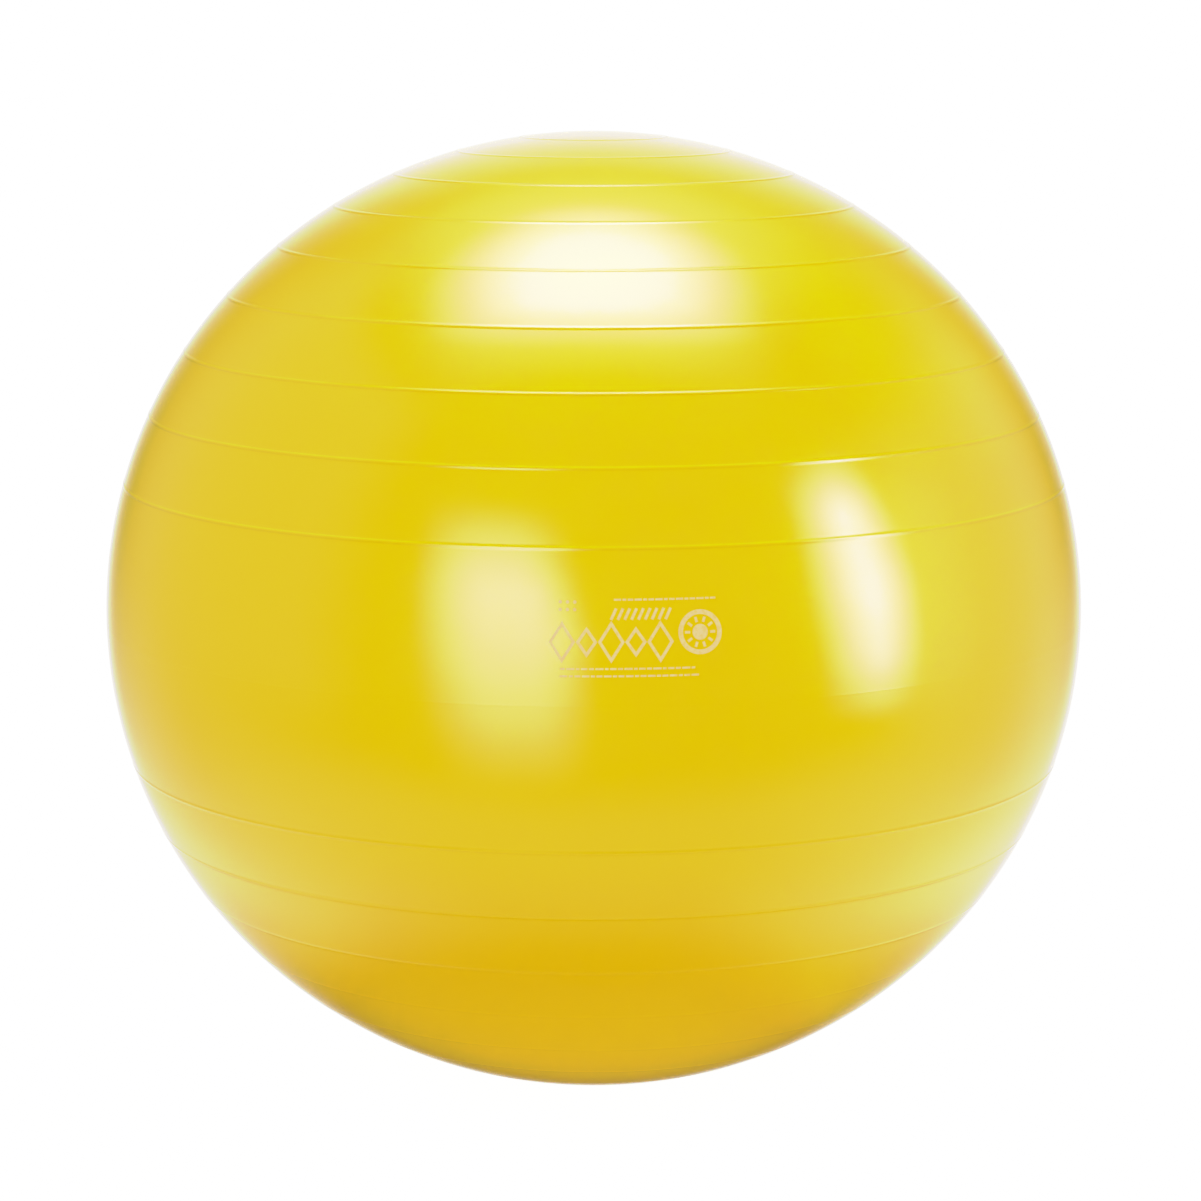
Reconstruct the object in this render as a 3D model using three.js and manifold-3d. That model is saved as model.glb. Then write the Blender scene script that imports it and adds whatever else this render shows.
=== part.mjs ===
// An inflatable exercise ball, 750 mm across: a hollow skin of soft PVC with raised grip ribs, a valve
// collar bonded into its wall, and the push-in plug that keeps the air in.
//
// Units are millimetres and +Z is up. The origin is the ball's centre. The side that carries the print
// faces -Y and the valve faces +Y. The ball stands on a floor, which presses a flat patch into its
// underside. A latitude is the eccentric angle of the ball's outline, in degrees above the equator.
import * as THREE from "three";
import { mergeVertices } from "three/addons/utils/BufferGeometryUtils.js";
import Module from "manifold-3d";

// The ball's body
const EQUATOR_RADIUS = 375;
const CROWN_HEIGHT = 366; // centre to the top
const BELLY_DEPTH = 368; // centre to the bottom, before the floor flattens it
const FLOOR_DEPTH = 366; // centre to the floor
const WALL = 0.9;

// The grip ribs: rings round the vertical axis, in two mirrored sets above and below a smooth band
const RIBS_PER_SIDE = 9;
const BAND_LATITUDE = -0.56; // the middle of the smooth band, where the two halves of the mould met
const FIRST_RIB = 16.9; // degrees from the middle of the band to the first rib
const RIB_PITCH = 8.76; // degrees from the first rib to the second, nearly
const PITCH_LOSS = 0.077; // degrees that the ribs crowd together, times the square of a rib's number
const RIB_WIDTH = 3.2;
const RIB_HEIGHT = 0.8;

// The valve: lengths along its axis are depths below the ball's surface
const COLLAR_RADIUS = 11;
const COLLAR_TIP_RADIUS = 7.5;
const COLLAR_SHOULDER = 6; // where the collar's neck starts to taper
const COLLAR_DEPTH = 20;
const FLANGE_RADIUS = 20;
const FLANGE_DEPTH = 4.5;
const RECESS_RADIUS = 9.4;
const RECESS_DEPTH = 2.6;
const BORE_RADIUS = 4.5;
const FITTING_GAP = 0.3; // between bonded pieces, so that the solids stay apart

// The plug
const HEAD_RADIUS = 9;
const HEAD_TOP = 0.1;
const HEAD_UNDERSIDE = RECESS_DEPTH - FITTING_GAP;
const HEAD_ROUNDING = 0.6;
const DIMPLE_RADIUS = 3.5;
const DIMPLE_DEPTH = 0.7;
const SHANK_RADIUS = 3.5;
const SHANK_DEPTH = 23;
const TIP_RADIUS = 2.4;
const BARB_RADIUS = 4.25;
const BARB_COUNT = 4;
const BARB_START = 5.5;
const BARB_PITCH = 3.8;
const BARB_TAPER = 2.6; // along the side that meets the collar as the plug goes in
const BARB_BACK = 0.3; // along the side that resists when the plug is pulled

// How finely the curves are cut
const BALL_SEGMENTS = 40;
const VALVE_SEGMENTS = 32;
const LONGEST_STEP = 4.5; // degrees along the outline
const MERGE_DISTANCE = 1e-3;
const OVERCUT = 1; // how far a cutting shape runs past the face it opens

const SKIN_YELLOW = new THREE.MeshStandardMaterial({ color: 0xe4c800, roughness: 0.32, metalness: 0.1 });
const COLLAR_YELLOW = new THREE.MeshStandardMaterial({ color: 0xd9b400, roughness: 0.5, metalness: 0 });
const PLUG_WHITE = new THREE.MeshStandardMaterial({ color: 0xf1efe6, roughness: 0.4, metalness: 0 });

const wasm = await Module();
wasm.setup();

// A closed geometry as a solid that can be joined and cut.
function solidOf(geometry) {
  geometry.deleteAttribute("normal");
  geometry.deleteAttribute("uv");
  const merged = mergeVertices(geometry, MERGE_DISTANCE);
  return new wasm.Manifold(
    new wasm.Mesh({
      numProp: 3,
      vertProperties: merged.attributes.position.array,
      triVerts: new Uint32Array(merged.index.array),
    }),
  );
}

function geometryOf(solid) {
  const { vertProperties, triVerts } = solid.getMesh();
  const geometry = new THREE.BufferGeometry();
  geometry.setAttribute("position", new THREE.BufferAttribute(vertProperties, 3));
  geometry.setIndex(new THREE.BufferAttribute(triVerts, 1));
  geometry.computeVertexNormals();
  return geometry;
}

function namedMesh(name, solid, material) {
  const mesh = new THREE.Mesh(geometryOf(solid), material);
  mesh.name = name;
  return mesh;
}

// A point of the ball's outline, as distance from the vertical axis and height. An inset of WALL gives
// the inner surface.
function outlinePoint(latitude, inset) {
  const angle = THREE.MathUtils.degToRad(latitude);
  const poleRadius = latitude > 0 ? CROWN_HEIGHT : BELLY_DEPTH;
  return new THREE.Vector2(
    (EQUATOR_RADIUS - inset) * Math.cos(angle),
    (poleRadius - inset) * Math.sin(angle),
  );
}

// The latitudes of all ribs, from the lowest to the highest.
function ribLatitudes() {
  const offsets = Array.from(
    { length: RIBS_PER_SIDE },
    (_, n) => FIRST_RIB + RIB_PITCH * n - PITCH_LOSS * n * n,
  );
  const below = offsets.map((offset) => BAND_LATITUDE - offset).reverse();
  const above = offsets.map((offset) => BAND_LATITUDE + offset);
  return [...below, ...above];
}

// Outline points after one latitude, up to and including another, evenly spread.
function outlineSpan(from, to, inset) {
  const steps = Math.ceil((to - from) / LONGEST_STEP);
  return Array.from({ length: steps }, (_, i) =>
    outlinePoint(from + ((to - from) * (i + 1)) / steps, inset),
  );
}

// Half of the ball's section, from the bottom of the axis to its top, at a depth below the surface.
// Each rib is a low ridge with its own foot, crest and foot.
function ballOutline(inset, ribs) {
  const floor = inset - FLOOR_DEPTH;
  const patchLatitude = THREE.MathUtils.radToDeg(Math.asin(floor / (BELLY_DEPTH - inset)));
  const halfRib = THREE.MathUtils.radToDeg(RIB_WIDTH / 2 / EQUATOR_RADIUS);
  const points = [new THREE.Vector2(0, floor), outlinePoint(patchLatitude, inset)];
  let reached = patchLatitude;
  for (const rib of ribs) {
    points.push(...outlineSpan(reached, rib - halfRib, inset));
    points.push(outlinePoint(rib, inset - RIB_HEIGHT));
    points.push(outlinePoint(rib + halfRib, inset));
    reached = rib + halfRib;
  }
  points.push(...outlineSpan(reached, 90, inset));
  points.at(-1).x = 0;
  return points;
}

// The shape inside an outline, standing upright.
function ballShape(inset, ribs) {
  const geometry = new THREE.LatheGeometry(ballOutline(inset, ribs), BALL_SEGMENTS);
  geometry.rotateX(Math.PI / 2);
  return geometry;
}

// A shape turned round the valve's axis, which is +Y. Each point is a radius and a depth below the
// ball's surface, from the deepest point outwards.
function turned(points) {
  const profile = points.map(([radius, depth]) => new THREE.Vector2(radius, -depth));
  return new THREE.LatheGeometry(profile, VALVE_SEGMENTS);
}

function plainDisc(radius, deepest, shallowest) {
  return turned([
    [0, deepest],
    [radius, deepest],
    [radius, shallowest],
    [0, shallowest],
  ]);
}

function valvePlace() {
  const { x, y } = outlinePoint(BAND_LATITUDE, 0);
  return new THREE.Vector3(0, x, y);
}

// The hollow skin, open only where the valve collar goes through it.
function skin(place) {
  const outside = solidOf(ballShape(0, ribLatitudes()));
  const inside = solidOf(ballShape(WALL, []));
  const hole = plainDisc(COLLAR_RADIUS + FITTING_GAP, COLLAR_DEPTH, -OVERCUT);
  hole.translate(...place);
  return outside.subtract(inside).subtract(solidOf(hole));
}

// The collar: a tapered neck with a flange that follows the inside of the skin, a stepped hole for the
// plug's shank, and a recess for its head.
function collar(place) {
  const neck = turned([
    [0, COLLAR_DEPTH],
    [COLLAR_TIP_RADIUS, COLLAR_DEPTH],
    [COLLAR_RADIUS, COLLAR_SHOULDER],
    [COLLAR_RADIUS, 0],
    [0, 0],
  ]);
  const cavity = ballShape(WALL + FITTING_GAP, []);
  cavity.translate(-place.x, -place.y, -place.z);
  const flange = solidOf(plainDisc(FLANGE_RADIUS, FLANGE_DEPTH, 0)).intersect(solidOf(cavity));
  const passage = turned([
    [0, COLLAR_DEPTH + OVERCUT],
    [BORE_RADIUS, COLLAR_DEPTH + OVERCUT],
    [BORE_RADIUS, RECESS_DEPTH],
    [RECESS_RADIUS, RECESS_DEPTH],
    [RECESS_RADIUS, -OVERCUT],
    [0, -OVERCUT],
  ]);
  return solidOf(neck).add(flange).subtract(solidOf(passage));
}

// The plug: a flat head with a dimple, and a shank whose barbs are steep towards the head.
function plug() {
  const barbs = Array.from({ length: BARB_COUNT }, (_, i) => {
    const top = BARB_START + (BARB_COUNT - 1 - i) * BARB_PITCH;
    return [
      [SHANK_RADIUS, top + BARB_TAPER],
      [BARB_RADIUS, top],
      [SHANK_RADIUS, top - BARB_BACK],
    ];
  }).flat();
  return solidOf(
    turned([
      [0, SHANK_DEPTH],
      [TIP_RADIUS, SHANK_DEPTH],
      ...barbs,
      [SHANK_RADIUS, HEAD_UNDERSIDE],
      [HEAD_RADIUS - HEAD_ROUNDING, HEAD_UNDERSIDE],
      [HEAD_RADIUS, HEAD_UNDERSIDE - HEAD_ROUNDING],
      [HEAD_RADIUS, HEAD_TOP + HEAD_ROUNDING],
      [HEAD_RADIUS - HEAD_ROUNDING, HEAD_TOP],
      [DIMPLE_RADIUS, HEAD_TOP],
      [DIMPLE_RADIUS - DIMPLE_DEPTH, HEAD_TOP + DIMPLE_DEPTH],
      [0, HEAD_TOP + DIMPLE_DEPTH],
    ]),
  );
}

const place = valvePlace();
const valve = new THREE.Group();
valve.position.copy(place);
valve.add(namedMesh("valve_collar", collar(place), COLLAR_YELLOW));
valve.add(namedMesh("valve_plug", plug(), PLUG_WHITE));

const ball = new THREE.Group();
ball.add(namedMesh("ball_skin", skin(place), SKIN_YELLOW));
ball.add(valve);

export default ball;
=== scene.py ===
"""An inflatable exercise ball of pearly yellow vinyl, with its valve, plug and printed mark.

Lengths are in metres, except that the valve and the print are laid out in millimetres. The ball's centre
is the origin, +Z is up, the print faces -Y and the valve faces +Y. An azimuth is measured from +X towards
+Y. A latitude is the eccentric angle of the ball's outline.
"""

import itertools
import math

import bpy
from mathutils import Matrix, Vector


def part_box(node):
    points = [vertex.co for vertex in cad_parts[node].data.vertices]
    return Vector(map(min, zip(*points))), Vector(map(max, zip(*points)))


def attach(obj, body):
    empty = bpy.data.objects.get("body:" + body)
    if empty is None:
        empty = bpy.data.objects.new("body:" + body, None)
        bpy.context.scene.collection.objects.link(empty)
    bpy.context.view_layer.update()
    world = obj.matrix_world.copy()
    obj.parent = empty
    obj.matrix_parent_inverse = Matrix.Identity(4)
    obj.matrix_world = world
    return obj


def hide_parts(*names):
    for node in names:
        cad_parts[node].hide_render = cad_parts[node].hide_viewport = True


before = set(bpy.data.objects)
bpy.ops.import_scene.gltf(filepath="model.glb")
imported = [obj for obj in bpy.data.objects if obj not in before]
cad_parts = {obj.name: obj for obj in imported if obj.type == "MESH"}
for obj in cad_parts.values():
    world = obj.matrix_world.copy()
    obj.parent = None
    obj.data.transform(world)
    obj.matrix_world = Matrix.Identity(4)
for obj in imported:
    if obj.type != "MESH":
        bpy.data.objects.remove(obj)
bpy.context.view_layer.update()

MM = 0.001

# The ball's body, from the frame
skin_low, skin_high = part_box("ball_skin")
EQUATOR = skin_high.x
CROWN = skin_high.z
FLOOR = -skin_low.z
BELLY = FLOOR + 2 * MM  # the depth of the bottom before the floor presses it flat
WALL = 0.9 * MM

# The grip ribs
RIBS_PER_SIDE = 9
BAND = math.radians(-0.56)  # the latitude of the middle of the smooth band
FIRST_RIB = 16.9  # degrees from the middle of the band
RIB_PITCH = 8.76
PITCH_LOSS = 0.077
RIB_HALF_WIDTH = 2.1 * MM
RIB_HEIGHT = 0.28 * MM
FULL_RIB = math.radians(-27)  # the ribs get shallower from this latitude down
FAINT_RIB = math.radians(-43)
FAINT_SHARE = 0.35  # of the full height, from there down
RIDGE_ROWS = 5  # on each side of a ridge's crest; the last one is past its foot

# The parting line, where the two halves of the mould met
PARTING_HALF_WIDTH = 0.6 * MM
PARTING_HEIGHT = 0.03 * MM
PARTING_END = 70 * MM  # it is trimmed away nearer to the valve
PARTING_FADE = 30 * MM

# The skin's mesh
COLUMNS = 216
ROW_STEP = 10.5 * MM
INSIDE_STEP = 36 * MM
WINDOW_CELLS = 6  # half the width, in cells, of the patch round the valve
VALVE_COLUMN = COLUMNS // 4
FIRST_COLUMN = VALVE_COLUMN - WINDOW_CELLS
LAST_COLUMN = VALVE_COLUMN + WINDOW_CELLS
SHARP_ANGLE = math.radians(40)

# The skin round the valve: a raised lip, and a hole for the collar
VALVE = Vector((0, EQUATOR * math.cos(BAND), BELLY * math.sin(BAND)))
VALVE_AZIMUTH = math.pi / 2
PATCH_RADIUS = 17 * MM  # where the window's square shape has turned round
LIP_RADIUS = 16 * MM
LIP_HEIGHT = 0.35 * MM
LIP_TURN = math.radians(130)  # how far the lip's swelling goes before the hole's edge
LIP_STEPS = 8
HOLE_RADIUS = 11.3 * MM
HOLE_ROUNDING = 0.2 * MM

# The collar and the plug, in millimetres: radii from the valve's axis and depths below the ball's surface
RIM_RADIUS = 11.2
RIM_DEPTH = -0.3  # it stands a little proud
RECESS_RADIUS = 9.4
RECESS_DEPTH = 2.6
BORE_RADIUS = 4.5
FLANGE_TOP = 1.3
FLANGE_RADIUS = 19.9
FLANGE_THICKNESS = 1.4
FLANGE_ROOT = (11.0, 4.6)  # where its underside meets the neck
NECK_SHOULDER = (10.4, 7.0)  # where the neck starts to taper
NECK_TIP_RADIUS = 7.6
NECK_DEPTH = 20.0
HEAD_RADIUS = 9.0
HEAD_TOP = 0.1
HEAD_UNDERSIDE = 2.3
DIMPLE_RADIUS = 4.1
DIMPLE_DEPTH = 0.8
NUB_RADIUS = 1.0  # the mark that the mould left in the middle of the dimple
NUB_TOP = 0.45
NOTCH_START = 6.0  # how near the axis the head's thumbnail notch begins
NOTCH_DEPTH = 1.0
NOTCH_HALF_ANGLE = 0.2
SHANK_RADIUS = 3.5
SHANK_DEPTH = 23.0
TIP_RADIUS = 2.8
TIP_HOLE_RADIUS = 1.6
TIP_HOLE_END = 12.0
TIP_HOLE_CONE = 0.6
BARB_RADIUS = 4.25
BARB_COUNT = 4
BARB_START = 5.5
BARB_PITCH = 3.8
BARB_TAPER = 2.6
BARB_BACK = 0.3
TURNS = 96  # faces round the collar and the plug
ARC_STEPS = 4  # faces round a corner of a profile

# The print, in millimetres across and above the ball's centre, as seen from the front
INK_HEIGHT = 0.12
INK_ROOT = -0.08
INK_STEP = 3.0  # the longest straight stretch of a printed line
LEFT = -50.0
DIAMOND_COUNT = 5
DIAMOND_PITCH = 16.9
DIAMOND_START = (-48.7, 40.6)
TALL_DIAMOND = (7.9, 12.4)  # half width and half height
SHORT_DIAMOND = (6.1, 8.6)
BADGE = (46.5, 46.4)
BADGE_RADIUS = 13.6
RAY_COUNT = 10
TICK_COUNT = 9
TICK_PITCH = 4.7
DASH_GAP = 1.0

# The camera
CAMERA_AZIMUTH = math.radians(-4.1)
CAMERA_ELEVATION = math.radians(9.95)
CAMERA_DISTANCE = 7.955 * EQUATOR
CAMERA_LENS = 115.4
CAMERA_SHIFT = (0.0056, 0.0048)

# The light
EVEN_LIGHT = 0.955
TOP_LIGHT = 0.08  # added overhead
WHITE_GLARE = 1.6  # added for the camera where it looks past the ball
PAINTED_FLOOR_GLOW = 0.45  # a glow painted on the floor under the ball, standing in for light that comes through the ball

WHITE = (1.0, 1.0, 1.0)


# ---------------------------------------------------------------------------------------------------
# Mesh helpers


def surface(azimuth, latitude, depth=0.0):
    """A point on the ball, or at a depth below its surface. The floor flattens the bottom."""
    pole = CROWN if latitude > 0 else BELLY
    across = (EQUATOR - depth) * math.cos(latitude)
    up = max((pole - depth) * math.sin(latitude), depth - FLOOR)
    return Vector((across * math.cos(azimuth), across * math.sin(azimuth), up))


def add_loop(points, new_points):
    """Adds points and returns their numbers."""
    first = len(points)
    points.extend(new_points)
    return list(range(first, len(points)))


def bridge(faces, loop_a, loop_b):
    """Quads between two closed loops of the same length."""
    count = len(loop_a)
    for i in range(count):
        j = (i + 1) % count
        faces.append((loop_a[i], loop_a[j], loop_b[j], loop_b[i]))


def cap(points, faces, loop, place):
    """Closes a loop with triangles that meet at a new point."""
    middle = add_loop(points, [place])[0]
    for i in range(len(loop)):
        faces.append((loop[i], loop[(i + 1) % len(loop)], middle))


def make_piece(name, points, faces, material, body):
    """A smooth-shaded closed mesh with its faces turned outwards, riding on a body."""
    mesh = bpy.data.meshes.new(name)
    mesh.from_pydata(points, [], faces)
    mesh.materials.append(material)
    piece = bpy.data.objects.new(name, mesh)
    bpy.context.scene.collection.objects.link(piece)
    bpy.context.view_layer.objects.active = piece
    bpy.ops.object.mode_set(mode="EDIT")
    bpy.ops.mesh.select_all(action="SELECT")
    bpy.ops.mesh.normals_make_consistent(inside=False)
    bpy.ops.object.mode_set(mode="OBJECT")
    mesh.shade_smooth()
    mesh.set_sharp_from_angle(angle=SHARP_ANGLE)
    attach(piece, body)
    return piece


# ---------------------------------------------------------------------------------------------------
# The skin


def rib_latitudes():
    """The latitudes of all ribs, from the lowest to the highest."""
    offsets = [FIRST_RIB + RIB_PITCH * n - PITCH_LOSS * n * n for n in range(RIBS_PER_SIDE)]
    below = [BAND - math.radians(offset) for offset in reversed(offsets)]
    above = [BAND + math.radians(offset) for offset in offsets]
    return below + above


def rib_height(latitude):
    """The ribs get shallower towards the floor, where they hardly show."""
    share = (latitude - FAINT_RIB) / (FULL_RIB - FAINT_RIB)
    share = min(1.0, max(0.0, share))
    return RIB_HEIGHT * (FAINT_SHARE + (1 - FAINT_SHARE) * share)


def ridge(latitude, half_width, height):
    """Rows across a low rounded ridge and just past its feet, as pairs of a latitude and a lift."""
    rows = []
    for i in range(-RIDGE_ROWS, RIDGE_ROWS + 1):
        share = i / (RIDGE_ROWS - 1)
        lift = height * math.cos(share * math.pi / 2) ** 2 if abs(share) < 1 else 0.0
        rows.append((latitude + share * half_width / EQUATOR, lift))
    return rows


def span(low, high, step):
    """Plain rows strictly between two latitudes."""
    count = max(1, math.ceil((high - low) * EQUATOR / step))
    return [(low + (high - low) * i / count, 0.0) for i in range(1, count)]


def outside_rows():
    """Every row of the skin's outer surface between the poles, from the bottom up."""
    ridges = [ridge(latitude, RIB_HALF_WIDTH, rib_height(latitude)) for latitude in rib_latitudes()]
    ridges.insert(RIBS_PER_SIDE, ridge(BAND, PARTING_HALF_WIDTH, PARTING_HEIGHT))
    rows = []
    reached = -math.pi / 2
    for rows_of_ridge in ridges:
        rows += span(reached, rows_of_ridge[0][0], ROW_STEP)
        rows += rows_of_ridge
        reached = rows_of_ridge[-1][0]
    return rows + span(reached, math.pi / 2, ROW_STEP)


def inside_rows():
    """Rows of the inner surface: the outer surface's rows in the smooth band, and few elsewhere."""
    edge = math.radians(FIRST_RIB) - 2 * RIB_HALF_WIDTH / EQUATOR
    band = [(latitude, 0.0) for latitude, _ in outside_rows() if abs(latitude - BAND) < edge]
    lower = span(-math.pi / 2, band[0][0], INSIDE_STEP)
    upper = span(band[-1][0], math.pi / 2, INSIDE_STEP)
    return lower + band + upper


def window_rows(rows):
    """The first and last row of the window, which is the patch round the valve."""
    middle = min(range(len(rows)), key=lambda i: abs(rows[i][0] - BAND))
    reach = RIDGE_ROWS + WINDOW_CELLS - 1
    return middle - reach, middle + reach


def parting_share(azimuth):
    """How much of the parting line is left, since it is trimmed away near the valve."""
    away = abs(azimuth - VALVE_AZIMUTH) * EQUATOR
    return min(1.0, max(0.0, (away - PARTING_END) / PARTING_FADE))


def skin_point(azimuth, latitude, lift, depth):
    if abs(latitude - BAND) * EQUATOR < 2 * PARTING_HALF_WIDTH:
        lift *= parting_share(azimuth)
    return surface(azimuth, latitude, depth - lift)


def add_grid(points, rows, depth):
    """Adds the points of one surface of the skin, row by row, with None for those in the window."""
    first_row, last_row = window_rows(rows)
    grid = []
    for r, (latitude, lift) in enumerate(rows):
        ring = []
        for c in range(COLUMNS):
            if first_row < r < last_row and FIRST_COLUMN < c < LAST_COLUMN:
                ring.append(None)
                continue
            ring.append(len(points))
            points.append(skin_point(math.tau * c / COLUMNS, latitude, lift, depth))
        grid.append(ring)
    return grid


def join_grid(points, faces, grid, depth):
    """Joins the rows of a grid, leaves its window open and closes it at the poles."""
    for lower, upper in zip(grid, grid[1:]):
        for c in range(COLUMNS):
            d = (c + 1) % COLUMNS
            face = (lower[c], lower[d], upper[d], upper[c])
            if None not in face:
                faces.append(face)
    cap(points, faces, grid[0], surface(0, -math.pi / 2, depth))
    cap(points, faces, grid[-1], surface(0, math.pi / 2, depth))


def window_edge(grid, rows):
    """The points round the window: the number of each, and how far across and above the valve it is."""
    first_row, last_row = window_rows(rows)
    walk = [(first_row, c) for c in range(FIRST_COLUMN, LAST_COLUMN)]
    walk += [(r, LAST_COLUMN) for r in range(first_row, last_row)]
    walk += [(last_row, c) for c in range(LAST_COLUMN, FIRST_COLUMN, -1)]
    walk += [(r, FIRST_COLUMN) for r in range(last_row, first_row, -1)]
    column_width = math.tau / COLUMNS * EQUATOR
    edge = []
    for r, c in walk:
        across = (c - VALVE_COLUMN) * column_width
        above = (rows[r][0] - BAND) * EQUATOR
        edge.append((grid[r][c], across, above))
    return edge


def window_ring(points, edge, share, radius, depth):
    """A loop between the window's edge, at share 0, and a circle round the valve, at share 1."""
    ring = []
    for _, across, above in edge:
        scale = 1 - share + share * radius / math.hypot(across, above)
        azimuth = VALVE_AZIMUTH + across * scale / EQUATOR
        ring.append(surface(azimuth, BAND + above * scale / EQUATOR, depth))
    return add_loop(points, ring)


def skin_surface(points, faces, rows, depth, rings):
    """Adds one surface of the skin, fills its window with rings and returns the last, round the hole."""
    grid = add_grid(points, rows, depth)
    join_grid(points, faces, grid, depth)
    edge = window_edge(grid, rows)
    reached = [number for number, _, _ in edge]
    for share, radius, ring_depth in rings:
        ring = window_ring(points, edge, share, radius, ring_depth)
        bridge(faces, reached, ring)
        reached = ring
    return reached


def lip_rings():
    """The outer window: flat, then a raised lip that ends at the rounded edge of the hole."""
    rings = [(share, PATCH_RADIUS, 0.0) for share in (0.25, 0.5, 0.7, 0.85, 0.95, 1.0)]
    for i in range(LIP_STEPS + 1):
        share = i / LIP_STEPS
        radius = LIP_RADIUS + (HOLE_RADIUS - LIP_RADIUS) * share
        rings.append((1.0, radius, -LIP_HEIGHT * math.sin(share * LIP_TURN)))
    rings.append((1.0, HOLE_RADIUS, HOLE_ROUNDING))
    return rings


def build_skin(material):
    """The hollow skin: an outer and an inner surface that meet round the valve's hole."""
    points = []
    faces = []
    inner_rings = [(share, PATCH_RADIUS, WALL) for share in (0.4, 0.8, 1.0)]
    inner_rings.append((1.0, HOLE_RADIUS, WALL))
    outer_hole = skin_surface(points, faces, outside_rows(), 0.0, lip_rings())
    inner_hole = skin_surface(points, faces, inside_rows(), WALL, inner_rings)
    bridge(faces, outer_hole, inner_hole)
    skin = make_piece("skin", points, faces, material, "ball")
    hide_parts("ball_skin")


# ---------------------------------------------------------------------------------------------------
# The valve


def valve_point(radius, depth, angle):
    """A point at a distance from the valve's axis, and at a depth below the ball's surface on that axis."""
    return VALVE + Vector((radius * math.sin(angle), -depth, radius * math.cos(angle))) * MM


def turned_loops(points, profile):
    """Turns a profile of radii and depths round the valve's axis, and returns a loop for each point."""
    loops = []
    for radius, depth in profile:
        ring = [valve_point(radius, depth, math.tau * i / TURNS) for i in range(TURNS)]
        loops.append(add_loop(points, ring))
    return loops


def rounded(corners):
    """A profile through corners, each a radius, a depth and the rounding that an arc gives it."""
    profile = []
    for i, (radius, depth, rounding) in enumerate(corners):
        corner = Vector((radius, depth))
        if not rounding:
            profile.append(corner)
            continue
        back = (Vector(corners[i - 1][:2]) - corner).normalized()
        ahead = (Vector(corners[(i + 1) % len(corners)][:2]) - corner).normalized()
        half_angle = back.angle(ahead) / 2
        inwards = (back + ahead).normalized()
        centre = corner + inwards * rounding / math.sin(half_angle)
        half_turn = math.pi / 2 - half_angle
        along = (ahead - back).normalized()
        for step in range(ARC_STEPS + 1):
            turn = half_turn * (2 * step / ARC_STEPS - 1)
            outwards = along * math.sin(turn) - inwards * math.cos(turn)
            profile.append(centre + outwards * rounding)
    return profile


def sag(radius):
    """How much deeper the ball's surface is at a distance from the valve's axis."""
    return radius * radius / (2 * EQUATOR / MM)


def build_collar(material):
    """The soft port: a rim, a recess, a bore, a tapered neck and a flange behind the skin."""
    flange_edge = FLANGE_TOP + sag(FLANGE_RADIUS)
    profile = rounded(
        [
            (RIM_RADIUS, RIM_DEPTH, 0.6),
            (RIM_RADIUS, FLANGE_TOP + sag(RIM_RADIUS), 0),
            (FLANGE_RADIUS, flange_edge, 0.6),
            (FLANGE_RADIUS, flange_edge + FLANGE_THICKNESS, 0.6),
            (*FLANGE_ROOT, 1.6),
            (*NECK_SHOULDER, 0),
            (NECK_TIP_RADIUS, NECK_DEPTH, 0.6),
            (BORE_RADIUS, NECK_DEPTH, 0.6),
            (BORE_RADIUS, RECESS_DEPTH, 0.6),
            (RECESS_RADIUS, RECESS_DEPTH, 0.4),
            (RECESS_RADIUS, RIM_DEPTH, 0.6),
        ]
    )
    points = []
    faces = []
    loops = turned_loops(points, profile)
    for i, loop in enumerate(loops):
        bridge(faces, loop, loops[(i + 1) % len(loops)])
    collar = make_piece("collar", points, faces, material, "ball")
    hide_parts("valve_collar")


def barb(number):
    """The corners of one barb: tapered on the tip's side and steep on the head's side."""
    top = BARB_START + BARB_PITCH * number
    return [
        (SHANK_RADIUS, top + BARB_TAPER, 0),
        (BARB_RADIUS, top, 0.3),
        (SHANK_RADIUS, top - BARB_BACK, 0),
    ]


def build_plug(material):
    """The push-in plug: a dished head with a thumbnail notch, on a barbed shank with a hollow tip."""
    barbs = [corner for i in reversed(range(BARB_COUNT)) for corner in barb(i)]
    profile = rounded(
        [
            (TIP_HOLE_RADIUS - 0.1, TIP_HOLE_END, 0),
            (TIP_HOLE_RADIUS, SHANK_DEPTH, 0.4),
            (TIP_RADIUS, SHANK_DEPTH, 0.5),
            *barbs,
            (SHANK_RADIUS, HEAD_UNDERSIDE, 0.6),
            (HEAD_RADIUS, HEAD_UNDERSIDE, 0.5),
            (HEAD_RADIUS, HEAD_TOP, 0.7),
            (DIMPLE_RADIUS, HEAD_TOP, 0.4),
            (DIMPLE_RADIUS - DIMPLE_DEPTH, HEAD_TOP + DIMPLE_DEPTH, 0.4),
            (NUB_RADIUS, HEAD_TOP + DIMPLE_DEPTH, 0.1),
            (NUB_RADIUS - 0.2, NUB_TOP + 0.05, 0.1),
            (NUB_RADIUS - 0.7, NUB_TOP, 0),
        ]
    )
    points = []
    faces = []
    loops = turned_loops(points, profile)
    for loop, following in zip(loops, loops[1:]):
        bridge(faces, loop, following)
    cap(points, faces, loops[0], valve_point(0, TIP_HOLE_END - TIP_HOLE_CONE, 0))
    cap(points, faces, loops[-1], valve_point(0, NUB_TOP, 0))
    points = [notched(point) for point in points]
    plug = make_piece("plug", points, faces, material, "plug")
    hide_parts("valve_plug")


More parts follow.
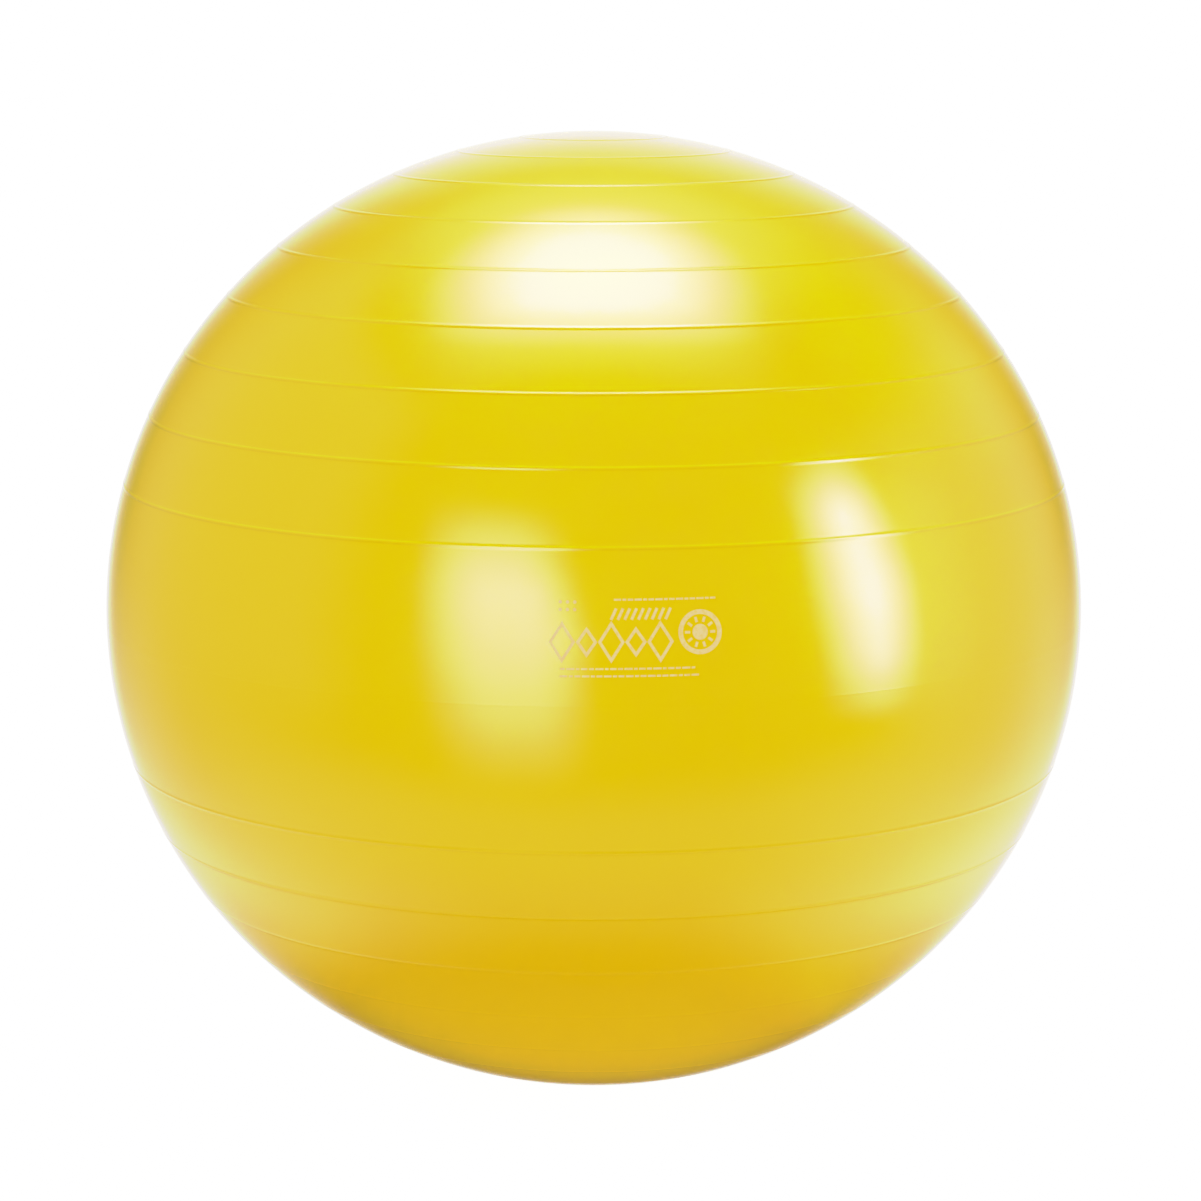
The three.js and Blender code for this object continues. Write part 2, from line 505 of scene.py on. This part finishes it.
def notched(point):
    """Presses a thumbnail notch into the lower edge of the plug's head."""
    place = (point - VALVE) / MM
    radius = math.hypot(place.x, place.z)
    in_the_shank = -place.y > RECESS_DEPTH
    if in_the_shank or radius < NOTCH_START:
        return point
    angle = math.atan2(place.x, -place.z)
    share = math.exp(-((angle / NOTCH_HALF_ANGLE) ** 2))
    depth = NOTCH_DEPTH * share * (radius - NOTCH_START) / (HEAD_RADIUS - NOTCH_START)
    return point - Vector((place.x, 0, place.z)) * MM * depth / radius


# ---------------------------------------------------------------------------------------------------
# The print, a generic mark with no letters


def on_front(across, above, height):
    """A place on the printed side, at a height above the ball's surface."""
    latitude = math.asin(above * MM / CROWN)
    azimuth = -math.pi / 2 + across * MM / EQUATOR
    return surface(azimuth, latitude, -height * MM)


def divided(path, closed):
    """A path with its long stretches cut up, so that it follows the ball's roundness."""
    ends = path + [path[0]] if closed else path
    result = []
    for (ax, ay), (bx, by) in zip(ends, ends[1:]):
        count = max(1, math.ceil(math.hypot(bx - ax, by - ay) / INK_STEP))
        result += [(ax + (bx - ax) * i / count, ay + (by - ay) * i / count) for i in range(count)]
    return result if closed else result + [path[-1]]


def offset_path(path, closed, distance):
    """The path moved sideways by a distance, with mitred corners."""
    result = []
    count = len(path)
    for i, place in enumerate(path):
        here = Vector(place)
        steps = []
        if i or closed:
            steps.append((here - Vector(path[i - 1])).normalized())
        if i < count - 1 or closed:
            steps.append((Vector(path[(i + 1) % count]) - here).normalized())
        along = sum(steps, Vector((0, 0))).normalized()
        reach = distance / along.dot(steps[0])
        result.append((here.x - along.y * reach, here.y + along.x * reach))
    return result


def ink_rail(points, path, height):
    return add_loop(points, [on_front(across, above, height) for across, above in path])


def stroke(points, faces, path, width, closed=False):
    """Inks a line along a path: a thin closed strip on the ball's surface."""
    path = divided(path, closed)
    left = offset_path(path, closed, width / 2)
    right = offset_path(path, closed, -width / 2)
    rails = [ink_rail(points, left, INK_HEIGHT), ink_rail(points, right, INK_HEIGHT)]
    rails += [ink_rail(points, right, INK_ROOT), ink_rail(points, left, INK_ROOT)]
    last = len(path) if closed else len(path) - 1
    for rail, following in zip(rails, rails[1:] + rails[:1]):
        for i in range(last):
            j = (i + 1) % len(path)
            faces.append((rail[i], rail[j], following[j], following[i]))
    if not closed:
        faces.append(tuple(rail[0] for rail in rails))
        faces.append(tuple(rail[-1] for rail in reversed(rails)))


def circle(centre, radius, steps):
    """Points round a circle."""
    angles = [math.tau * i / steps for i in range(steps)]
    return [(centre[0] + radius * math.cos(a), centre[1] + radius * math.sin(a)) for a in angles]


def dot(points, faces, centre, radius, steps=14):
    """Inks a filled round dot."""
    path = circle(centre, radius, steps)
    top = ink_rail(points, path, INK_HEIGHT)
    root = ink_rail(points, path, INK_ROOT)
    bridge(faces, top, root)
    faces.append(tuple(top))
    faces.append(tuple(reversed(root)))


def build_diamonds(material):
    """A row of outlined diamonds, tall and short in turn."""
    points = []
    faces = []
    x, y = DIAMOND_START
    for i in range(DIAMOND_COUNT):
        half_width, half_height = SHORT_DIAMOND if i % 2 else TALL_DIAMOND
        corners = [(x + half_width, y), (x, y + half_height), (x - half_width, y), (x, y - half_height)]
        stroke(points, faces, corners, width=2.1, closed=True)
        x += DIAMOND_PITCH
    make_piece("print_diamonds", points, faces, material, "ball")


def build_badge(material):
    """A round badge: a broad rim, a ring of short rays and a disc."""
    points = []
    faces = []
    stroke(points, faces, circle(BADGE, BADGE_RADIUS, 48), width=3.2, closed=True)
    starts = circle(BADGE, 7.0, RAY_COUNT)
    ends = circle(BADGE, 10.6, RAY_COUNT)
    for start, end in zip(starts, ends):
        stroke(points, faces, [start, end], width=1.8)
    dot(points, faces, BADGE, radius=5.4, steps=32)
    make_piece("print_badge", points, faces, material, "ball")


def dashes(points, faces, start, end, y, lengths):
    """Inks a fine dashed rule with dashes of the given lengths, over and over."""
    x = start
    for length in itertools.cycle(lengths):
        if x + length > end:
            break
        stroke(points, faces, [(x, y), (x + length, y)], width=1.3)
        x += length + DASH_GAP


def build_rules(material):
    """Fine dashed rules, a row of slanted ticks and a little block of dots."""
    points = []
    faces = []
    dashes(points, faces, start=-13, end=61, y=69.0, lengths=(5.0, 2.6, 3.8))
    dashes(points, faces, start=LEFT, end=46, y=22.4, lengths=(3.4, 5.6, 2.4, 4.4))
    dashes(points, faces, start=LEFT, end=46, y=17.4, lengths=(5.2, 2.8, 4.0))
    for i in range(TICK_COUNT):
        x = -15 + TICK_PITCH * i
        stroke(points, faces, [(x, 55.6), (x + 3.6, 63.2)], width=2.0)
    for column in range(3):
        for row in range(2):
            dot(points, faces, (LEFT + 5 * column, 62.5 + 5 * row), radius=1.2)
    make_piece("print_rules", points, faces, material, "ball")


# ---------------------------------------------------------------------------------------------------
# Materials


class Nodes:
    """A small hand for building one node tree. A value is a number or another node's output."""

    def __init__(self, tree, place):
        self.tree = tree
        self.place = tree.nodes.new("ShaderNodeTexCoord").outputs[place]

    def put(self, value, socket):
        if isinstance(value, bpy.types.NodeSocket):
            self.tree.links.new(value, socket)
        else:
            socket.default_value = value

    def put_colour(self, colour, socket):
        self.put((*colour, 1) if isinstance(colour, tuple) else colour, socket)

    def math(self, operation, *values):
        node = self.tree.nodes.new("ShaderNodeMath")
        node.operation = operation
        for value, socket in zip(values, node.inputs):
            self.put(value, socket)
        return node.outputs[0]

    def product(self, first, *others):
        for other in others:
            first = self.math("MULTIPLY", first, other)
        return first

    def total(self, first, *others):
        for other in others:
            first = self.math("ADD", first, other)
        return first

    def hypotenuse(self, *sides):
        squares = [self.product(side, side) for side in sides]
        return self.math("SQRT", self.total(*squares))

    def dot(self, vector, axis):
        node = self.tree.nodes.new("ShaderNodeVectorMath")
        node.operation = "DOT_PRODUCT"
        self.put(vector, node.inputs[0])
        self.put(axis, node.inputs[1])
        return node.outputs["Value"]

    def along(self, axis):
        """How far the place is along a direction."""
        return self.dot(self.place, axis)

    def facing(self, axis):
        """How much the surface faces a direction."""
        geometry = self.tree.nodes.new("ShaderNodeNewGeometry")
        return self.dot(geometry.outputs["Normal"], axis)

    def range(self, value, low, high, to_low=0.0, to_high=1.0, smooth=True):
        """A blend from to_low, where the value is low, to to_high, where it is high."""
        node = self.tree.nodes.new("ShaderNodeMapRange")
        node.interpolation_type = "SMOOTHSTEP" if smooth else "LINEAR"
        for number, socket in zip((value, low, high, to_low, to_high), node.inputs):
            self.put(number, socket)
        return node.outputs["Result"]

    def noise(self, scale, detail=2.0, stretch=(1, 1, 1), distortion=0.0):
        """A soft pattern from 0 to 1, with so many lumps to the metre."""
        mapping = self.tree.nodes.new("ShaderNodeMapping")
        self.put(stretch, mapping.inputs["Scale"])
        self.put(self.place, mapping.inputs["Vector"])
        node = self.tree.nodes.new("ShaderNodeTexNoise")
        self.put(scale, node.inputs["Scale"])
        self.put(detail, node.inputs["Detail"])
        self.put(distortion, node.inputs["Distortion"])
        self.put(mapping.outputs["Vector"], node.inputs["Vector"])
        return node.outputs["Fac"]

    def ramp(self, value, *stops):
        """Colours at places from 0 to 1, with straight blends in between."""
        node = self.tree.nodes.new("ShaderNodeValToRGB")
        self.put(value, node.inputs["Fac"])
        elements = node.color_ramp.elements
        elements.remove(elements[1])
        elements[0].position = stops[0][0]
        for position, _ in stops[1:]:
            elements.new(position)
        for element, (_, colour) in zip(elements, stops):
            element.color = (*colour, 1)
        return node.outputs["Color"]

    def mix(self, share, colour_a, colour_b):
        """Two colours, with a share of the second. A Mix node's inputs 6 and 7 and output 2 are colours."""
        node = self.tree.nodes.new("ShaderNodeMix")
        node.data_type = "RGBA"
        self.put(share, node.inputs["Factor"])
        self.put_colour(colour_a, node.inputs[6])
        self.put_colour(colour_b, node.inputs[7])
        return node.outputs[2]

    def glow(self, strength, colour):
        """The shader of a background."""
        node = self.tree.nodes.new("ShaderNodeBackground")
        self.put_colour(colour, node.inputs["Color"])
        self.put(strength, node.inputs["Strength"])
        return node.outputs[0]

    def seen_by(self, ray):
        """1 for rays of a kind, such as glossy ones, and 0 for all others."""
        return self.tree.nodes.new("ShaderNodeLightPath").outputs[ray]


class Paint(Nodes):
    """The nodes of one material."""

    def __init__(self, name):
        self.material = bpy.data.materials.new(name)
        self.material.use_nodes = True
        super().__init__(self.material.node_tree, "Object")
        self.surface = self.tree.nodes["Principled BSDF"]

    def set(self, **values):
        for name, value in values.items():
            self.put_colour(value, self.surface.inputs[name.replace("_", " ")])

    def bump(self, height, strength, distance):
        node = self.tree.nodes.new("ShaderNodeBump")
        self.put(strength, node.inputs["Strength"])
        self.put(distance, node.inputs["Distance"])
        self.put(height, node.inputs["Height"])
        self.put(node.outputs["Normal"], self.surface.inputs["Normal"])


def yellow_with_painted_shading(n, share):
    """The body's yellow, with painted light and shade: painted shade makes the lower part a deeper golden,
    most of all in the middle and to the left, and the very top is painted lighter, as a painted highlight."""
    # Painted light: the right side and the low sides are painted lighter
    right = n.along(direction(90, 0))
    to_the_right = n.range(right, 0.15 * EQUATOR, 0.65 * EQUATOR, 0, 0.22)
    to_the_sides = n.range(n.math("ABSOLUTE", right), 0.35 * EQUATOR, 0.65 * EQUATOR, 0, 0.16)
    low_sides = n.product(to_the_sides, n.range(share, 0.45, 0.2))
    # Painted shade: a deeper golden low down; the last stop paints the crown lighter, a painted highlight
    return n.ramp(
        n.total(share, to_the_right, low_sides),
        (0.08, (0.825, 0.57, 0.0)),
        (0.2, (0.82, 0.54, 0.0)),
        (0.24, (0.85, 0.56, 0.0)),
        (0.34, (0.89, 0.632, 0.0)),
        (0.5, (0.90, 0.648, 0.0)),
        (0.9, (0.92, 0.655, 0.0)),
        (1.0, (1.0, 0.72, 0.0)),
    )


def with_painted_rib_shading(n, yellow, share):
    """Painted rib light and shade: above the band a rib's upper side is painted lighter, a painted
    highlight, and its lower side is painted darker, a painted shade. Below the band it is faintly painted
    darker on both."""
    # A smooth ellipsoid would face along x, y and this z
    z = n.along((0, 0, (EQUATOR / CROWN) ** 2))
    length = n.hypotenuse(n.along((1, 0, 0)), n.along((0, 1, 0)), z)
    smooth_tilt = n.math("DIVIDE", z, length)
    tilt = n.math("SUBTRACT", n.facing((0, 0, 1)), smooth_tilt)
    # Painted highlight on a rib's upper side, painted duller lower down, and painted shade on its lower
    # side
    rib_highlight_paint = n.mix(n.range(share, 0.4, 0.6), (0.80, 0.60, 0.0), (1.0, 0.82, 0.0))
    painted_rib_highlight = n.product(n.range(share, 0.2, 0.4), n.range(tilt, 0.03, 0.2, 0, 0.55))
    painted_rib_shade = n.product(n.range(share, 0.1, 0.6), n.range(tilt, -0.03, -0.2, 0, 0.5))
    yellow = n.mix(painted_rib_highlight, yellow, rib_highlight_paint)
    return n.mix(painted_rib_shade, yellow, (0.70, 0.52, 0.0))


def vinyl(name):
    """Pearly yellow vinyl: a satin yellow body under a smooth clear surface."""
    n = Paint(name)
    share = n.range(n.along((0, 0, 1)), -FLOOR, CROWN, smooth=False)
    # The yellow carries painted light and shade: a deeper golden lower part, a lighter crown, and painted
    # highlights and shade on the ribs' sides
    yellow = with_painted_rib_shading(n, yellow_with_painted_shading(n, share), share)
    clouds = n.range(n.noise(3.5, detail=3, distortion=0.6), 0.3, 0.7, 0, 0.05)
    swirl = n.range(n.noise(26, detail=4, stretch=(1, 1, 2.2), distortion=1.2), 0.3, 0.7)
    n.set(
        Base_Color=n.mix(clouds, yellow, (0.78, 0.50, 0.0)),
        Metallic=0.05,
        Roughness=n.range(swirl, 0, 1, 0.46, 0.52),
        Specular_IOR_Level=0.0,
        Coat_Weight=1.0,
        Coat_IOR=1.46,
        Coat_Roughness=n.range(n.noise(60, detail=3), 0.2, 0.8, 0.07, 0.12),
    )
    n.bump(n.total(n.noise(900), n.noise(240)), 0.05, 0.3 * MM)
    return n.material


def port_rubber(name):
    """The collar's vinyl: the ball's colour, duller, with the fine grain of its own mould."""
    n = Paint(name)
    mottle = n.range(n.noise(180, detail=3), 0.3, 0.7)
    n.set(
        Base_Color=n.mix(mottle, (0.80, 0.52, 0.004), (0.74, 0.46, 0.003)),
        Roughness=n.range(mottle, 0, 1, 0.42, 0.52),
    )
    n.bump(n.noise(2600), 0.12, 0.1 * MM)
    return n.material


def white_plastic(name):
    """The plug's soft white polyethylene, with faint handling marks."""
    n = Paint(name)
    smudge = n.range(n.noise(160, detail=5, distortion=0.8), 0.45, 0.75)
    n.set(
        Base_Color=n.mix(smudge, (0.86, 0.85, 0.80), (0.78, 0.76, 0.69)),
        Roughness=n.range(smudge, 0, 1, 0.32, 0.5),
        Subsurface_Weight=0.15,
        Subsurface_Scale=2 * MM,
    )
    n.bump(n.noise(1800, detail=3), 0.15, 0.08 * MM)
    return n.material


def cream_ink(name):
    """Pale cream screen ink, a little thin in places."""
    n = Paint(name)
    thin = n.range(n.noise(420, detail=4), 0.42, 0.72)
    n.set(
        Base_Color=n.mix(thin, (1.0, 0.68, 0.31), (0.97, 0.64, 0.20)),
        Roughness=n.range(thin, 0, 1, 0.6, 0.5),
        Specular_IOR_Level=0.2,
    )
    n.bump(n.noise(3000), 0.1, 0.05 * MM)
    return n.material


# ---------------------------------------------------------------------------------------------------
# The studio


def direction(azimuth, elevation):
    """A direction from the ball: azimuth 0 is towards the viewer and 90 to the viewer's right."""
    turn = math.radians(azimuth) + CAMERA_AZIMUTH
    rise = math.radians(elevation)
    return Vector((math.sin(turn) * math.cos(rise), -math.cos(turn) * math.cos(rise), math.sin(rise)))


class Room(Nodes):
    """The studio that the ball mirrors: how bright it is in each direction.

    Angles are in degrees: azimuth 0 is towards the viewer and 90 to the viewer's right."""

    def __init__(self, tree):
        super().__init__(tree, "Generated")
        self.right = self.along(direction(90, 0))
        self.front = self.along(direction(0, 0))
        self.up = self.along((0, 0, 1))
        self.azimuth = self.math("DEGREES", self.math("ARCTAN2", self.right, self.front))
        self.elevation = self.math("DEGREES", self.math("ARCSINE", self.up))
        self.away = self.math("ABSOLUTE", self.azimuth)
        self.above_floor = self.fade(self.elevation, -26, -6)

    def fade(self, value, nothing, full):
        """0 as far as one value and 1 from another on."""
        return self.range(value, nothing, full)

    def slanted(self, tilt, pivot, side=None):
        """The azimuth of an edge that leans by so many degrees to a degree of elevation.

        The side MAXIMUM or MINIMUM makes it lean only above or below the pivot."""
        height = self.total(self.elevation, -pivot)
        if side:
            height = self.math(side, height, 0)
        return self.total(self.azimuth, self.product(tilt, height))

    def overhead(self):
        """A bright soft box straight above, in a dimmer ceiling that reaches in front and behind."""
        high = self.math("MAXIMUM", self.up, 0.05)
        aside = self.math("ABSOLUTE", self.math("DIVIDE", self.right, high))
        ahead = self.math("DIVIDE", self.front, high)
        depth = self.math("MAXIMUM", self.product(ahead, 2.0), self.product(ahead, -0.9))
        above = self.fade(self.up, 0, 0.2)
        box = self.fade(self.hypotenuse(aside, depth), 0.6, 0.05)
        width = self.fade(aside, 0.75, 0.1)
        length = self.product(self.fade(ahead, 0.48, 0.15), self.fade(ahead, -1.15, -0.3))
        return self.total(self.product(20, box, above), self.product(2.0, width, length, above))

    def left_box(self):
        """A broad soft box in front and to the left."""
        left = self.fade(self.slanted(0.1, 12), -43.5, -23.5)
        right = self.fade(self.slanted(0.3, 4, "MAXIMUM"), 1.5, -14)
        height = self.product(self.fade(self.elevation, 35, 12), self.fade(self.elevation, -35, 16))
        return self.product(12.5, left, right, height)

    def right_strip(self):
        """A tall bright strip to the right, a little bent at its middle."""
        strength = self.range(self.elevation, -12, 12, 15.0, 20.3)
        left = self.fade(self.slanted(0.17, 8, "MINIMUM"), 49, 66.5)
        right = self.fade(self.slanted(0.17, 8, "MAXIMUM"), 82, 66.5)
        height = self.product(self.fade(self.elevation, 37.5, 23), self.fade(self.elevation, -19, -3))
        return self.product(strength, left, right, height)

    def left_wall(self):
        width = self.product(self.fade(self.azimuth, -50, -74), self.fade(self.azimuth, -150, -122))
        return self.product(0.48, width, self.fade(self.elevation, 56, 44), self.above_floor)

    def right_wall(self):
        """Brighter than the left one, and more so near the strip."""
        strength = self.range(self.azimuth, 105, 84, 0.8, 1.35)
        width = self.product(self.fade(self.azimuth, 66, 84), self.fade(self.azimuth, 150, 122))
        return self.product(strength, width, self.fade(self.elevation, 40, 16), self.above_floor)

    def backdrop(self):
        """The bright sheet behind the ball, in a wide haze."""
        sheet = self.product(1.5, self.fade(self.away, 148, 178), self.fade(self.elevation, 50, 16))
        haze = self.product(0.15, self.fade(self.away, 120, 150), self.fade(self.elevation, 60, 40))
        return self.product(self.total(sheet, haze), self.above_floor)

    def lit_floor(self):
        """The floor: brighter behind than in front, with the ball's own shadow in the middle."""
        from_behind = self.range(self.away, 30, 135, 0, 1.15)
        from_the_right = self.total(1, self.product(0.3, self.right))
        strength = self.total(0.5, self.product(from_behind, from_the_right))
        below = self.along(direction(0, 0) * 0.407 + Vector((0, 0, 0.913)))
        rising_behind = self.product(-0.18, self.math("MAXIMUM", self.total(self.away, -110), 0))
        horizon = self.total(self.elevation, rising_behind)
        behind = self.math("MAXIMUM", self.product(self.front, -1), 0)
        shadow = self.total(
            self.product(-1.2, self.up),
            self.product(-0.25, self.front),
            self.product(0.41, behind, behind),
        )
        edges = self.product(self.fade(below, -0.05, -0.36), self.fade(horizon, -6, -42))
        return self.product(strength, edges, self.range(shadow, 1.15, 0.92, 0.05, 1))

    def shader(self):
        """All of it. The dimmer parts have a slight rosy tint, except behind the ball and on the floor."""
        lamps = self.total(
            self.overhead(),
            self.left_box(),
            self.right_strip(),
            self.left_wall(),
            self.right_wall(),
            self.backdrop(),
        )
        in_front = self.product(self.fade(self.away, 150, 100), self.fade(self.elevation, -40, -15))
        rosy = self.product(self.range(lamps, 14, 1.5, 0.06, 0.26), in_front)
        return self.glow(self.total(lamps, self.lit_floor()), self.mix(rosy, WHITE, (1.0, 0.0, 1.0)))


def camera_glare(n):
    """The over-exposed white that only the camera sees."""
    return n.product(WHITE_GLARE, n.seen_by("Is Camera Ray"))


def build_world():
    """The studio. The ball mirrors its lamps and walls, but takes nearly even light for its own colour.
    Past the ball the camera sees over-exposed white."""
    world = bpy.data.worlds.new("studio")
    bpy.context.scene.world = world
    world.use_nodes = True
    world.cycles.sampling_method = "NONE"
    room = Room(world.node_tree)
    from_above = room.range(room.up, 0.5, 1, 0, TOP_LIGHT)
    even_light = room.total(EVEN_LIGHT, from_above, camera_glare(room))
    mixer = room.tree.nodes.new("ShaderNodeMixShader")
    room.put(room.seen_by("Is Glossy Ray"), mixer.inputs["Fac"])
    room.put(room.glow(even_light, WHITE), mixer.inputs[1])
    room.put(room.shader(), mixer.inputs[2])
    room.put(mixer.outputs[0], room.tree.nodes["World Output"].inputs["Surface"])


def white_floor_with_painted_glow(name):
    """White, over-exposed for the camera, with a glow painted under the ball that stands in for light that
    comes through the ball.
    """
    n = Paint(name)
    distance = n.hypotenuse(n.along((1, 0, 0)), n.along((0, 1, 0)))
    # Painted glow: the floor near the ball emits light, a painted pool of light
    painted_glow_under_ball = n.range(distance, 0.6, 0.12, 0, PAINTED_FLOOR_GLOW)
    n.set(
        Base_Color=(0.88, 0.88, 0.87),
        Roughness=0.9,
        Specular_IOR_Level=0.0,
        Emission_Color=WHITE,
        Emission_Strength=n.total(camera_glare(n), painted_glow_under_ball),
    )
    return n.material


def build_floor(material):
    """A plain floor. The ball mirrors the studio's floor instead of it."""
    half = 60
    mesh = bpy.data.meshes.new("floor")
    corners = [(-half, -half, 0), (half, -half, 0), (half, half, 0), (-half, half, 0)]
    mesh.from_pydata(corners, [], [(0, 1, 2, 3)])
    mesh.materials.append(material)
    floor = bpy.data.objects.new("floor", mesh)
    floor.location.z = -FLOOR
    floor.visible_glossy = False
    bpy.context.scene.collection.objects.link(floor)


def build_camera():
    """The camera, at the photo's angle."""
    camera = bpy.data.objects.new("camera", bpy.data.cameras.new("camera"))
    bpy.context.scene.collection.objects.link(camera)
    back = direction(0, math.degrees(CAMERA_ELEVATION))
    camera.location = back * CAMERA_DISTANCE
    camera.rotation_mode = "QUATERNION"
    camera.rotation_quaternion = back.to_track_quat("Z", "Y")
    camera.data.lens = CAMERA_LENS
    camera.data.shift_x, camera.data.shift_y = CAMERA_SHIFT
    bpy.context.scene.camera = camera


def set_exposure_curve():
    """A soft shoulder, so that highlights roll off to white as they do on film."""
    view = bpy.context.scene.view_settings
    view.view_transform = "Standard"
    view.use_curve_mapping = True
    mapping = view.curve_mapping
    brightest = 2.4
    mapping.white_level = (brightest,) * 3
    mapping.extend = "HORIZONTAL"
    brightness_curve = mapping.curves[3]
    straight_part = ((0.3, 0.3), (0.6, 0.6), (0.77, 0.765))
    shoulder = ((0.92, 0.79), (1.1, 0.84), (1.3, 0.895), (1.5, 0.94), (1.9, 0.98))
    for light, shown in straight_part + shoulder:
        brightness_curve.points.new(light / brightest, shown)
    mapping.update()


build_skin(vinyl("pearly_vinyl"))
build_collar(port_rubber("port_rubber"))
build_plug(white_plastic("white_plastic"))
ink = cream_ink("cream_ink")
build_diamonds(ink)
build_badge(ink)
build_rules(ink)
build_world()
build_floor(white_floor_with_painted_glow("floor"))
build_camera()
set_exposure_curve()
